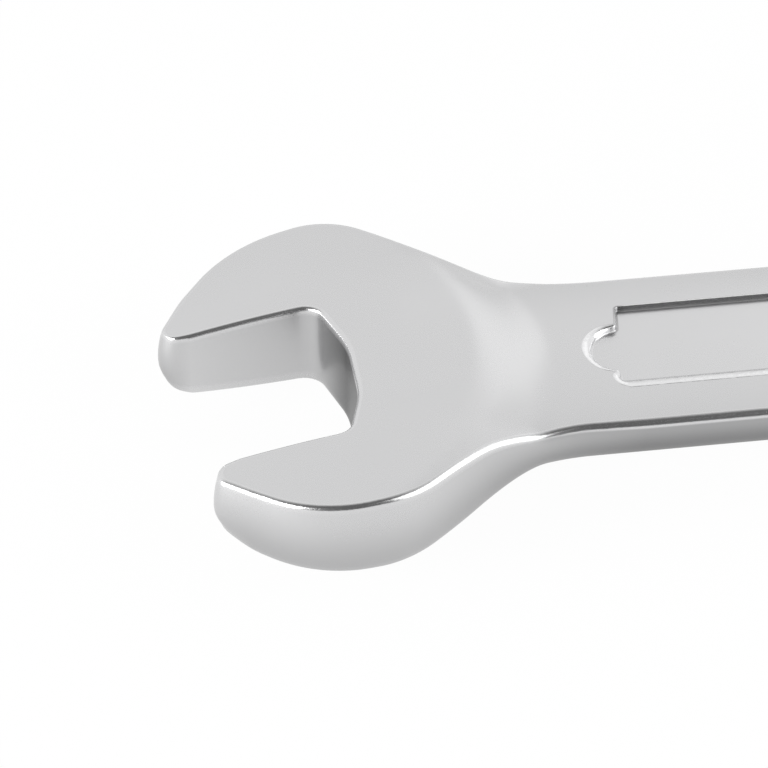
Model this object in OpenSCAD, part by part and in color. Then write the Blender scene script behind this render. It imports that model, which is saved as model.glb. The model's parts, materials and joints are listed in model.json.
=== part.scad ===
// Combination wrench: a forged open end and a reversible ratcheting ring end.
// Origin: centre of the ring socket, half way up. The shank runs along -X to the open end. Units: mm.

/* [Nut size] */
// Width across the flats of the nut that both ends take
nut_af = 13; // [12:0.5:14]
// Gap between the nut and the jaws, both sides together
jaw_clearance = 0.1; // [0.05:0.05:0.3]
// Gap between the nut and the ring socket, both sides together
socket_clearance = 0.12; // [0.05:0.01:0.3]

/* [Overall] */
// From the ring socket's centre to the nut's centre in the jaws
centre_distance = 159.8; // [140:1:190]

/* [Open end] */
// Angle of the jaws to the shank, degrees
jaw_angle = 9.2; // [6:0.2:12]
// How far the nut's centre in the jaws lies below the shank's centre line
jaw_drop = 2.2; // [1:0.1:3]
// Thickness of the head at the throat
head_t = 6.7; // [5:0.1:7.5]
// How much thinner the head is at the tip of the upper jaw
tip_thinning = 2.05; // [0.4:0.05:2.4]
// Reach of the upper jaw's flat beyond the nut's centre
upper_reach = 5.15; // [4:0.05:5.6]
// Reach of the lower jaw's flat beyond the nut's centre
lower_reach = 5.85; // [5:0.05:6.4]
// Depth of the upper jaw behind its flat, at the cheek
upper_cheek = 4.3; // [4:0.1:5.2]
// Depth of the upper jaw behind its flat, at the shoulder
upper_shoulder = 10.2; // [9.8:0.1:11.5]
// Depth of the lower jaw behind its flat, at the cheek
lower_cheek = 3.5; // [3.3:0.1:3.9]
// Depth of the lower jaw behind its flat, at the shoulder
lower_shoulder = 7.4; // [6.8:0.1:8.5]
// Radius of the blend from the upper jaw into the shank
upper_neck_r = 22; // [12:0.5:24]
// Radius of the blend from the lower jaw into the shank
lower_neck_r = 12.2; // [10:0.1:15]
// Reach of the head's flat faces from the nut's centre towards the shank
face_reach = 15.4; // [13:0.2:17]
// Length of the slope from the head's face down to the shank
face_slope = 5.8; // [4:0.2:12]

/* [Shank] */
// Width of the shank
shank_w = 15.6; // [14:0.1:16.5]
// Thickness of the shank at its edges
shank_edge_t = 2.8; // [2:0.1:3.6]
// Thickness of the shank on its centre line
shank_mid_t = 4.2; // [3.8:0.1:5]
// Width of the sunk panel in each face
panel_w = 7.9; // [5:0.1:9]
// Depth of the sunk panel below its rim
panel_depth = 0.5; // [0.2:0.05:0.8]
// How much further out the panel's shoulders lie on their lower side, which slants both ends
panel_slant = 1; // [0:0.1:1.5]
// Radius of the round tongue at each end of the panel
tongue_r = 2.4; // [1.5:0.1:3]
// How far the tongues stand out past the panel's upper shoulder
tongue_reach = 2.65; // [2.3:0.05:2.9]
// How far the tongues lie off the shank's centre line
tongue_offset = 0.5; // [0:0.1:1]
// From the nut's centre in the jaws to the panel's upper shoulder
panel_from_jaws = 25.9; // [24:0.1:40]
// From the ring socket's centre to the panel's upper shoulder
panel_from_ring = 35; // [34:0.5:50]

/* [Ring end] */
// Wall of the ring housing around its bore
housing_wall = 3.1; // [2.4:0.1:4]
// Thickness of the ring housing
housing_t = 9; // [8.6:0.1:10]
// Radius of the blend from the ring housing into the shank
housing_blend_r = 20; // [12:1:24]
// Length of the slope from the housing's face down to the shank
housing_slope = 9; // [6:0.5:12]
// Height of the lip over the ratchet ring
lip_t = 1.2; // [0.8:0.1:1.4]

/* [Ratchet ring] */
// Number of ratchet teeth
teeth = 72; // [36:12:84]
// Wall between the corners of the socket and the roots of the teeth
gear_wall = 1.75; // [1.4:0.05:2.4]
// Depth of the ratchet teeth
tooth_depth = 0.42; // [0.3:0.02:0.5]
// How far the ring's end collars lie inside the tips of the teeth
collar_step = 0.95; // [0.8:0.05:1.1]
// Radial gap between turning parts and the housing
running_gap = 0.1; // [0.05:0.01:0.15]
// Gap between flat faces that slide on each other
face_gap = 0.1; // [0.05:0.01:0.15]
// Width of the chamfer at each mouth of the socket
socket_chamfer = 0.5; // [0.2:0.05:0.8]

/* [Snap ring] */
// Thickness of the snap ring
snap_t = 0.7; // [0.5:0.05:0.8]
// How deep the snap ring sits in the housing's wall
snap_seat = 0.45; // [0.3:0.05:0.7]
// Opening of the snap ring, degrees
snap_opening = 34; // [20:1:60]

/* [Pawl and lever] */
// Radius of the pawl
pawl_r = 6.05; // [5.6:0.05:6.3]
// Height of the pawl
pawl_h = 4.3; // [3.6:0.1:4.4]
// Wall between the lever's shaft hole and the pawl's teeth
pawl_web = 2.2; // [2:0.05:2.5]
// Half of the pawl's rocking angle, degrees
pawl_tilt = 6; // [5:0.25:7]
// Half of the lever's swing, degrees
lever_tilt = 28; // [20:1:35]
// Radius of the lever's shaft
shaft_r = 2.4; // [2.3:0.05:2.6]
// Radial gap round the lever's shaft
shaft_gap = 0.05; // [0.02:0.01:0.08]
// Radius of the lever's round hub
hub_r = 4.2; // [3.9:0.1:5]
// Thickness of the lever above the housing
lever_t = 1.7; // [1.2:0.1:2.5]
// Reach of the lever's arm from its shaft
lever_reach = 10.5; // [8:0.5:14]
// Width of the lever's arm at its end
lever_end_w = 5.4; // [4:0.1:7]
// Number of grip ribs on the lever's arm
lever_ribs = 4; // [2:1:5]

/* [Detent] */
// Radius of the detent ball
ball_r = 1; // [0.8:0.05:1.1]
// How far the ball stands out of the lever's shaft
ball_out = 0.4; // [0.2:0.05:0.45]
// Depth of the ball's hole in the shaft, from the shaft's axis
ball_hole_back = 1.7; // [1.5:0.05:1.9]
// Wire thickness of the detent spring
wire_d = 0.32; // [0.2:0.02:0.4]
// Turns of the detent spring
spring_turns = 4; // [3:0.5:5]

/* [Seal and clip] */
// Thickness of the rubber ring under the lever
seal_d = 0.84; // [0.6:0.02:1]
// Outer radius of the clip on the lever's shaft
clip_r = 3.3; // [3:0.1:3.6]
// Thickness of the clip
clip_t = 0.55; // [0.4:0.05:0.7]
// Depth of the clip's groove in the shaft
clip_groove = 0.6; // [0.4:0.05:0.8]

/* [Hidden] */
$fn = 96;
arc_step = 6;        // degrees between the points of an arc in an outline
over = 1;            // how far a cut runs past the face that it opens
chrome = [0.82, 0.82, 0.83];
steel = [0.62, 0.63, 0.65];
dark_steel = [0.35, 0.35, 0.37];
rubber = [0.12, 0.12, 0.12];

// open end
jaw_half = (nut_af + jaw_clearance) / 2;
nut_corner = nut_af / 2 / cos(30);
jaw_at = [-centre_distance, -jaw_drop];
throat_u = nut_corner + 0.4;

// ring end: the ratchet ring's radii follow the nut, the housing's follow the ring's
socket_half = (nut_af + socket_clearance) / 2;
socket_corner = socket_half / cos(30);
root_r = socket_corner + gear_wall;
tip_r = root_r + tooth_depth;
bore_r = tip_r + running_gap;
collar_r = tip_r - collar_step;
lip_r = collar_r + running_gap;
housing_r = bore_r + housing_wall;
housing_z = housing_t / 2;
lip_z = housing_z - lip_t;
gear_top = lip_z - face_gap;
snap_z = -housing_z + 0.45;
snap_top = snap_z + snap_t;
gear_bottom = snap_top + 2 * face_gap;
snap_out_r = bore_r + snap_seat;
snap_in_r = collar_r + running_gap + 0.05;

// pawl and lever, both on the axis at pivot_x
mesh_gap = 0.08;
pivot_x = -(tip_r + shaft_r + pawl_web);
pocket_r = pawl_r + 0.15;
pocket_h = pawl_h + 3 * face_gap;
lever_z = housing_z + face_gap;
seal_seat_r = shaft_r + seal_d + 2 * shaft_gap;
seal_seat_h = seal_d + face_gap;
clip_seat_r = clip_r + 0.35;
shaft_end_z = -housing_z + 0.15;
clip_z = shaft_end_z + 0.35;
clip_seat_h = clip_z + clip_t + face_gap + housing_z;
ball_at = shaft_r + ball_out - ball_r;
ball_hole_r = ball_r + shaft_gap;
ridge_r = shaft_r + ball_out + shaft_gap;

// shank
bar_margin = 0.8;    // how far the shank's bar runs past its edges before the outline trims it
housing_flat_r = abs(pivot_x) + pocket_r + 0.6;
crown_r = (pow(shank_w / 2, 2) + pow((shank_mid_t - shank_edge_t) / 2, 2)) / (shank_mid_t - shank_edge_t);
panel_floor_z = shank_mid_t / 2 - (crown_r - sqrt(pow(crown_r, 2) - pow(panel_w / 2, 2))) - panel_depth;

// A closed outline from corners [x, y, r], each corner replaced by an arc of radius r that touches both sides
function unit(v) = v / norm(v);
function corner_arc(p, a, b, r) =
    let (u = unit(a - p), w = unit(b - p), half = acos(u * w) / 2,
         c = p + unit(u + w) * r / sin(half), s = p + u * r / tan(half), e = p + w * r / tan(half),
         a0 = atan2(s[1] - c[1], s[0] - c[0]), turn = atan2(e[1] - c[1], e[0] - c[0]) - a0,
         d = turn > 180 ? turn - 360 : turn < -180 ? turn + 360 : turn,
         n = max(1, ceil(abs(d) / arc_step)))
    [for (i = [0:n]) c + r * [cos(a0 + d * i / n), sin(a0 + d * i / n)]];
function xy(v) = [v[0], v[1]];
function rounded(c) =
    let (n = len(c))
    [for (i = [0:n - 1]) each corner_arc(xy(c[i]), xy(c[(i + n - 1) % n]), xy(c[(i + 1) % n]), c[i][2])];

// A point u towards the throat and v towards the upper jaw, seen from the nut's centre in the jaws
function jaw_xy(u, v) = jaw_at + [u * cos(jaw_angle) - v * sin(jaw_angle), u * sin(jaw_angle) + v * cos(jaw_angle)];
function jaw_corner(u, v, r) = concat(jaw_xy(u, v), [r]);

// Smooth step from 0 to 1
function ease(t) = t * t * (3 - 2 * t);

module open_end_outline() {
    half_w = shank_w / 2;
    polygon(rounded([
        [-housing_r, half_w, 0.5],
        [jaw_at[0] + 18.3, half_w, upper_neck_r],
        jaw_corner(10.6, jaw_half + upper_shoulder, 5.5),
        jaw_corner(2.8, jaw_half + upper_shoulder - 1.25, 12.5),
        jaw_corner(3.3 - upper_reach, jaw_half + upper_cheek, 8),
        jaw_corner(-upper_reach, jaw_half, 1.2),
        jaw_corner(throat_u - 1.1, jaw_half, 1.4),
        jaw_corner(throat_u - 0.2, 1.8, 6.8),
        jaw_corner(throat_u - 0.9, -3.2, 6.8),
        jaw_corner(throat_u - 2.5, -jaw_half, 1.3),
        jaw_corner(-lower_reach, -jaw_half, 1.3),
        jaw_corner(3.2 - lower_reach, -jaw_half - lower_cheek, 4),
        jaw_corner(1, -jaw_half - lower_shoulder + 0.1, 9),
        jaw_corner(7.7, -jaw_half - lower_shoulder, 8.5),
        [jaw_at[0] + 18.3, -half_w, lower_neck_r],
        [-housing_r, -half_w, 0.5]]));
}

// The housing's round outline, with a tangent blend into both edges of the shank
module ring_end_outline() {
    half_w = shank_w / 2;
    blend_y = half_w + housing_blend_r;
    blend_x = -sqrt(pow(housing_r + housing_blend_r, 2) - pow(blend_y, 2));
    touch = housing_r / (housing_r + housing_blend_r) * [blend_x, blend_y];
    circle(r = housing_r);
    difference() {
        polygon([[blend_x, -half_w], [touch[0], -touch[1]], touch, [blend_x, half_w]]);
        for (side = [-1, 1]) translate([blend_x, side * blend_y]) circle(r = housing_blend_r);
    }
}

// The side view: thinner towards the jaw tips on a large arc, eased down to the shank, eased up to the housing
module side_profile() {
    n = 8;
    head_z = head_t / 2;
    low_z = shank_edge_t / 2 - bar_margin / 8;
    thin_from = jaw_at[0] + 8.3;
    thin_l = 14;
    slope_from = jaw_at[0] + face_reach;
    rise_to = -housing_flat_r;
    top = concat(
        [for (i = [n:-1:0]) [thin_from - thin_l * i / n, head_z - tip_thinning / 2 * pow(i / n, 2)]],
        [for (i = [0:n]) [slope_from + face_slope * i / n, head_z + (low_z - head_z) * ease(i / n)]],
        [for (i = [n:-1:0]) [rise_to - housing_slope * i / n, housing_z + (low_z - housing_z) * ease(i / n)]],
        [[housing_r + over, housing_z]]);
    bottom = [for (i = [len(top) - 1:-1:0]) [top[i][0], -top[i][1]]];
    rotate([90, 0, 0]) linear_extrude(height = 4 * housing_r, center = true) polygon(concat(top, bottom));
}

// The shank's cross section: both faces are arcs of crown_r
module shank_bar(from_x, to_x) {
    half_w = shank_w / 2 + bar_margin;
    n = 8;
    mid_z = shank_mid_t / 2;
    face = [for (i = [-n:n]) [i / n * half_w, mid_z - (crown_r - sqrt(pow(crown_r, 2) - pow(i / n * half_w, 2)))]];
    back = [for (i = [2 * n:-1:0]) [face[i][0], -face[i][1]]];
    translate([from_x, 0, 0]) rotate([90, 0, 90])
        linear_extrude(height = to_x - from_x) polygon(concat(face, back));
}

module panel_outline() {
    from_x = jaw_at[0] + panel_from_jaws;
    to_x = -panel_from_ring;
    half_w = panel_w / 2;
    tongue_in = tongue_r - tongue_reach;
    polygon([[from_x, half_w], [from_x - panel_slant, -half_w], [to_x + panel_slant, -half_w], [to_x, half_w]]);
    for (x = [from_x + tongue_in, to_x - tongue_in]) translate([x, -tongue_offset]) circle(r = tongue_r);
}

module panel_cuts() {
    for (side = [0, 1]) mirror([0, 0, side])
        translate([0, 0, panel_floor_z]) linear_extrude(height = shank_mid_t) panel_outline();
}

module round_cut(r, z0, z1) {
    translate([0, 0, z0]) cylinder(r = r, h = z1 - z0);
}

module body() {
    color(chrome) difference() {
        intersection() {
            linear_extrude(height = housing_t, center = true) {
                open_end_outline();
                ring_end_outline();
            }
            union() {
                side_profile();
                shank_bar(jaw_at[0] + 10, -housing_r);
            }
        }
        panel_cuts();
        round_cut(bore_r, -housing_z - over, lip_z);
        round_cut(lip_r, -over, housing_z + over);
        round_cut(snap_out_r + 0.05, snap_z - 0.05, snap_top + 0.05);
        translate([pivot_x, 0, 0]) {
            round_cut(pocket_r, -pocket_h / 2, pocket_h / 2);
            round_cut(shaft_r + shaft_gap, -housing_z - over, housing_z + over);
            round_cut(seal_seat_r, housing_z - seal_seat_h, housing_z + over);
            round_cut(clip_seat_r, -housing_z - over, -housing_z + clip_seat_h);
        }
    }
}

// The ring's toothed outline: a tooth on every multiple of the pitch, grown outwards by extra
module gear_outline(extra = 0) {
    polygon([for (i = [0:2 * teeth - 1])
        let (a = i * 180 / teeth, r = (i % 2 == 0 ? tip_r : root_r) + extra) [r * cos(a), r * sin(a)]]);
}

// Twelve-point socket: two hexagons
module socket_outline() {
    for (a = [0, 30]) rotate(a) circle(r = socket_corner, $fn = 6);
}

module ratchet_ring() {
    height = 2 * (housing_z - face_gap);
    color(steel) difference() {
        union() {
            translate([0, 0, gear_bottom]) linear_extrude(height = gear_top - gear_bottom) gear_outline();
            cylinder(r = collar_r, h = height, center = true);
        }
        linear_extrude(height = height + 2 * over, center = true) socket_outline();
        for (side = [0, 1]) mirror([0, 0, side]) translate([0, 0, height / 2 - socket_chamfer])
            cylinder(r1 = socket_corner - socket_chamfer, r2 = socket_corner + socket_chamfer, h = 2 * socket_chamfer);
    }
}

module snap_ring() {
    far = 2 * snap_out_r;
    half = snap_opening / 2;
    color(dark_steel) translate([0, 0, snap_z]) difference() {
        cylinder(r = snap_out_r, h = snap_t);
        translate([0, 0, -over]) cylinder(r = snap_in_r, h = snap_t + 2 * over);
        translate([0, 0, -over]) linear_extrude(height = snap_t + 2 * over)
            polygon([[0, 0], [far * cos(half), -far * sin(half)], [far * cos(half), far * sin(half)]]);
    }
}

// Places what turns on the lever's axis, tilted from the middle of its travel
module on_pivot(tilt) {
    translate([pivot_x, 0, 0]) rotate(tilt) children();
}

// The teeth are what the ring's teeth leave of the disc as the pawl rocks from one side to the other
module pawl() {
    sweep = 8;
    valley = lever_tilt - pawl_tilt;
    color(steel) on_pivot(-pawl_tilt) difference() {
        linear_extrude(height = pawl_h, center = true) difference() {
            circle(r = pawl_r);
            for (i = [-sweep:sweep]) rotate(i / sweep * pawl_tilt) translate([-pivot_x, 0]) gear_outline(mesh_gap);
            circle(r = shaft_r + shaft_gap);
        }
        cylinder(r = ridge_r, h = 2 * ball_hole_r, center = true);
        for (side = [-1, 1]) rotate(side * valley) translate([ball_at + 0.2, 0, 0])
            cylinder(r = ball_hole_r, h = 2 * ball_hole_r, center = true);
    }
}

module lever_outline() {
    end_r = 1.6;
    circle(r = hub_r);
    polygon(rounded([
        [0, hub_r, 0.1],
        [-lever_reach, lever_end_w / 2, end_r],
        [-lever_reach, -lever_end_w / 2, end_r],
        [0, -hub_r, 0.1]]));
}

module reversing_lever() {
    rib_w = 0.5;
    rib_h = 0.35;
    rib_pitch = 1.1;
    color(chrome) on_pivot(-lever_tilt) {
        difference() {
            union() {
                round_cut(shaft_r, shaft_end_z, lever_z + 0.2);
                translate([0, 0, lever_z]) linear_extrude(height = lever_t) lever_outline();
                for (i = [0:lever_ribs - 1])
                    translate([-lever_reach + 1 + rib_pitch * i, -lever_end_w * 0.37, lever_z + lever_t - 0.1])
                        cube([rib_w, lever_end_w * 0.74, rib_h + 0.1]);
            }
            difference() {
                round_cut(shaft_r + over, clip_z - 0.03, clip_z + clip_t + 0.03);
                round_cut(shaft_r - clip_groove, clip_z - over, clip_z + clip_t + over);
            }
            translate([-ball_hole_back, 0, 0]) rotate([0, 90, 0]) cylinder(r = ball_hole_r, h = 2 * shaft_r);
        }
    }
}

module detent_ball() {
    color(steel) on_pivot(-lever_tilt) translate([ball_at, 0, 0]) sphere(r = ball_r);
}

// A helix of round wire from the hole's end to the ball, swept as rings of points
module detent_spring() {
    steps = 14;
    sides = 8;
    wire_r = wire_d / 2;
    coil_r = ball_hole_r - shaft_gap - wire_r;
    from_x = -ball_hole_back + wire_r + 0.03;
    contact = ball_at - sqrt(pow(ball_r + wire_r, 2) - pow(coil_r, 2)) - 0.03;
    turns = spring_turns;
    n = round(turns * steps);
    points = [for (i = [0:n], j = [0:sides - 1])
        let (a = 360 * i / steps, b = 360 * j / sides, r = coil_r + wire_r * cos(b))
        [from_x + (contact - from_x) * i / n + wire_r * sin(b), r * cos(a), r * sin(a)]];
    faces = concat(
        [[for (j = [0:sides - 1]) j]],
        [for (i = [0:n - 1], j = [0:sides - 1])
            let (a = i * sides, b = a + sides, k = (j + 1) % sides) [a + j, b + j, b + k, a + k]],
        [[for (j = [sides - 1:-1:0]) n * sides + j]]);
    color(dark_steel) on_pivot(-lever_tilt) polyhedron(points = points, faces = faces);
}

module lever_clip() {
    mouth = 2 * (shaft_r - clip_groove) - 0.3;
    color(dark_steel) on_pivot(-lever_tilt) translate([0, 0, clip_z]) linear_extrude(height = clip_t) difference() {
        circle(r = clip_r);
        circle(r = shaft_r - clip_groove + 0.03);
        translate([0, -mouth / 2]) square([clip_r + over, mouth]);
        for (side = [-1, 1]) rotate(side * 115) translate([shaft_r - clip_groove, -0.7]) square([0.8, 1.4]);
    }
}

module lever_seal() {
    mid_r = seal_seat_r - shaft_gap - seal_d / 2;
    color(rubber) translate([pivot_x, 0, housing_z - seal_seat_h + seal_d / 2])
        rotate_extrude() translate([mid_r, 0]) circle(r = seal_d / 2, $fn = 32);
}

body();
ratchet_ring();
snap_ring();
pawl();
reversing_lever();
detent_ball();
detent_spring();
lever_clip();
lever_seal();
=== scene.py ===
"""Combination wrench: finished surfaces, materials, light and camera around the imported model."""

import json
import math

import bmesh
import bpy
import numpy as np
from bpy.props import FloatProperty, FloatVectorProperty, PointerProperty
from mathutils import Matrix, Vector
from mathutils.bvhtree import BVHTree
from mathutils.geometry import delaunay_2d_cdt


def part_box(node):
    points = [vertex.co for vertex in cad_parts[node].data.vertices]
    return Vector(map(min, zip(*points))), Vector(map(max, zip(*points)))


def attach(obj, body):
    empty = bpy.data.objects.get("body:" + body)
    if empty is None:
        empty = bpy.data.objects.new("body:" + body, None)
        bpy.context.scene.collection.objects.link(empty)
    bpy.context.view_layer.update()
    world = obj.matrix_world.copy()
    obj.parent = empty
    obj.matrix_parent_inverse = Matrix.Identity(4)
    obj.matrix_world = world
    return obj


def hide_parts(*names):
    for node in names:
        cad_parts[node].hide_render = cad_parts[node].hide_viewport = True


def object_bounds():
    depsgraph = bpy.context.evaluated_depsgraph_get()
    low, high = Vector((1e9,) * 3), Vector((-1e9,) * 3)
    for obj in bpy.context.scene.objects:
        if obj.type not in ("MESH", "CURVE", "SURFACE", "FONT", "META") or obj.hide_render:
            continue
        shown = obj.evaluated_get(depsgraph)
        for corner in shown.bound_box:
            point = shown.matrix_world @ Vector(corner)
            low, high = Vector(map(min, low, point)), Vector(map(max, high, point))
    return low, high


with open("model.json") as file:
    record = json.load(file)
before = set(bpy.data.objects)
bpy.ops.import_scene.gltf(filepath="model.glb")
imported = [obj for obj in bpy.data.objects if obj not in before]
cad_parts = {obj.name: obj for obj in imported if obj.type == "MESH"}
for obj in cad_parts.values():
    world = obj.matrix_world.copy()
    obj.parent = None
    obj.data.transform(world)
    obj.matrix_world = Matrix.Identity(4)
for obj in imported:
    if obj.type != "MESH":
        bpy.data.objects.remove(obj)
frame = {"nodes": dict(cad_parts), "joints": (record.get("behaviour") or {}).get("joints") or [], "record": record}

bl_info = {
    "name": "Combination wrench",
    "version": (1, 0, 0),
    "blender": (4, 5, 0),
    "location": "3D View > Sidebar > Wrench",
    "description": "Builds the finished surfaces of a combination wrench with a ratcheting ring end",
    "category": "Object",
}

MM = 0.001  # shapes are worked out in millimetres, Blender holds metres
CAD_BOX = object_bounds()

# Points of the photograph, in its 768 by 768 frame: what shows there
IMAGE_SIDE = 768
IMAGE_POINTS = {
    "left": (160, None),
    "top": (None, 222),
    "bottom": (None, 573),
    "upper_jaw_tip": (165, 335.5),
    "throat_corner": (312.5, 308),
    "throat_back": (357.6, 388),
    "throat_foot": (345.6, 432.6),
    "lower_jaw_tip": (219, 475.6),
    "lower_rim": (330, 510),
    "neck_rim": (448, 474),
    "shank_rim": (600, 426.5),
    "panel_upper_corner": (614.5, 307.5),
    "panel_lower_corner": (616.5, 384.5),
    "tongue_tip": (586, 350),
}


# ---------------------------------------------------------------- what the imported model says


def millimetres(values):
    """Numbers in metres as an array in millimetres."""
    return np.array(values, float) / MM


MOUNTS = {m["name"]: m for m in frame["record"]["mounts"]}
JAWS_AT = millimetres(MOUNTS["open_jaws"]["pos_m"][:2])
TO_THROAT = -np.array(MOUNTS["open_jaws"]["axis"][:2])
TO_UPPER = np.array([-TO_THROAT[1], TO_THROAT[0]])
JAW_HALF = float((millimetres(MOUNTS["upper_jaw_flat"]["pos_m"][:2]) - JAWS_AT) @ TO_UPPER)
JOINTS = {j["name"]: j for j in frame["joints"]}
PIVOT_X = JOINTS["lever_swing"]["pos_m"][0] / MM
PIVOT = (PIVOT_X, 0)
HOUSING_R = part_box("body")[1].x / MM
HOUSING_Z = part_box("body")[1].z / MM
GEAR_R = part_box("ratchet_ring")[1].x / MM
RING_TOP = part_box("ratchet_ring")[1].z / MM
SNAP_BOX = [millimetres(corner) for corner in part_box("snap_ring")]
SEAL_BOX = [millimetres(corner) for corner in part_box("lever_seal")]
CLIP_BOX = [millimetres(corner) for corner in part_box("lever_clip")]
LEVER_BOX = [millimetres(corner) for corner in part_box("reversing_lever")]
PAWL_BOX = [millimetres(corner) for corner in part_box("pawl")]


def width(box):
    """Width of a box across the wrench."""
    return box[1][1] - box[0][1]


# ---------------------------------------------------------------- sizes and colours


def length(name, description, default):
    """A length property whose default is written in millimetres."""
    return FloatProperty(name=name, description=description, default=default * MM, unit="LENGTH", precision=5)


class WrenchForging(bpy.types.PropertyGroup):
    upper_reach: length("Upper reach", "Reach of the upper jaw's flat beyond the nut's centre", 5.15)
    lower_reach: length("Lower reach", "Reach of the lower jaw's flat beyond the nut's centre", 5.85)
    head_t: length("Head thickness", "Thickness of the open end's head at the throat", 6.7)
    tip_thinning: length("Tip thinning", "How much thinner each face lies at the upper jaw's tip", 0.635)
    tip_fall: length("Tip fall", "How much further the lower face falls away at the jaw tips", 1.35)
    cross_fall: length("Cross fall", "How much each face of the head falls towards its outer edge", 0.375)
    disc_r: length("Disc radius", "Radius of the head's flat disc, where the slope to the shank starts", 18.1)
    disc_slope: length("Disc slope", "Length of the slope from the disc down to the shank", 5.7)
    shank_w: length("Shank width", "Width of the shank", 15.6)
    shank_mid_t: length("Shank thickness", "Thickness of the shank on its centre line", 4.2)
    crown_r: length("Crown radius", "Radius of the shank's crowned faces", 43.8)
    upper_neck_r: length("Upper neck radius", "Radius of the blend from the upper jaw into the shank", 22)
    lower_neck_r: length("Lower neck radius", "Radius of the blend from the lower jaw into the shank", 12.2)
    wall_bulge: length("Wall bulge", "How far the walls draw in from half way up to the upper face", 0.25)
    wall_undercut: length(
        "Wall undercut", "How far the walls draw in from half way down to the lower face", 0.45)
    shank_bulge: length("Shank bulge", "How far the shank's edges draw in up to the upper face", 0.06)
    rim_r: length("Rim radius", "Radius of the rounded rim of the upper face", 0.36)
    back_rim_r: length(
        "Back rim radius", "Half width of the rounded rim of the lower face, which is twice as tall", 0.35)
    shank_rim_r: length("Shank rim radius", "Radius of the rounded rim along the shank", 0.42)
    jaw_rim_r: length("Jaw rim radius", "Radius of the rims along the jaws and the throat", 0.3)
    panel_w: length("Panel width", "Width of the sunk panel", 7.9)
    panel_depth: length("Panel depth", "Depth of the sunk panel below its rim", 0.38)
    panel_start: length(
        "Panel start", "From the nut's centre in the jaws to the panel's upper shoulder", 26.1)
    panel_end: length("Panel end", "From the ring socket's centre to the panel's shoulder", 35)
    panel_slant: length("Panel slant", "How much further the panel's lower shoulder reaches to the jaws", 1.0)
    tongue_r: length("Tongue radius", "Radius of the panel's round tongue", 2.3)
    tongue_reach: length("Tongue reach", "Reach of the tongue beyond the panel's upper shoulder", 2.4)
    worn_rim_r: length("Worn rim radius", "Radius of the panel's worn lower rim", 1.5)
    tongue_offset: length(
        "Tongue offset", "How far the tongue's middle lies off the shank's centre line", 0.5)
    housing_blend_r: length("Housing blend", "Radius of the blend from the ring housing into the shank", 20)
    housing_flat_r: length("Housing flat", "Radius of the ring housing's flat face", 21.1)
    housing_rise: length("Housing rise", "Length of the slope from the shank up to the housing's face", 9)


class WrenchRingEnd(bpy.types.PropertyGroup):
    socket: length("Socket", "Twelve-point socket across the flats", 13.12)
    tooth_depth: length("Tooth depth", "Depth of the ring's ratchet teeth", 0.42)
    collar_step: length("Collar step", "How much smaller the ring's collars are than its teeth", 0.95)
    gear_top: length("Gear top", "Height of the toothed part's upper side above the middle", 3.2)
    gear_bottom: length("Gear bottom", "Depth of the toothed part's lower side below the middle", 3.15)
    hub_r: length("Hub radius", "Radius of the lever's hub", 4.2)
    lever_reach: length("Lever reach", "From the lever's axis to its thumb end", 10.5)
    lever_end_w: length("Lever end width", "Width of the lever's thumb end", 5.4)
    rib_w: length("Rib width", "Width of each grip rib", 0.5)
    rib_h: length("Rib height", "Height of each grip rib", 0.35)
    rib_pitch: length("Rib pitch", "From one grip rib to the next", 1.1)
    shaft_r: length("Shaft radius", "Radius of the lever's shaft", 2.4)
    clip_groove: length("Clip groove", "Depth of the clip's groove in the shaft", 0.6)
    lever_tilt: FloatProperty(
        name="Lever tilt", description="Angle of the lever at rest from the middle of its travel",
        default=math.radians(28), subtype="ANGLE")


class WrenchFinish(bpy.types.PropertyGroup):
    chrome: FloatVectorProperty(
        name="Chrome", description="Reflected colour of the satin chrome", subtype="COLOR",
        default=(0.64, 0.64, 0.645), min=0, max=1)
    chrome_roughness: FloatProperty(
        name="Chrome roughness", description="Roughness of the satin chrome", default=0.28, min=0, max=1,
        subtype="FACTOR")
    rim_roughness: FloatProperty(
        name="Rim roughness", description="Roughness of the chrome on the rubbed rims", default=0.2, min=0,
        max=1, subtype="FACTOR")
    steel: FloatVectorProperty(
        name="Ring steel", description="Reflected colour of the turned steel", subtype="COLOR",
        default=(0.5, 0.5, 0.51), min=0, max=1)
    spring_steel: FloatVectorProperty(
        name="Spring steel", description="Reflected colour of the dark spring steel", subtype="COLOR",
        default=(0.16, 0.16, 0.17), min=0, max=1)
    rubber: FloatVectorProperty(
        name="Rubber", description="Colour of the seal", subtype="COLOR", default=(0.02, 0.02, 0.02), min=0,
        max=1)


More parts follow.
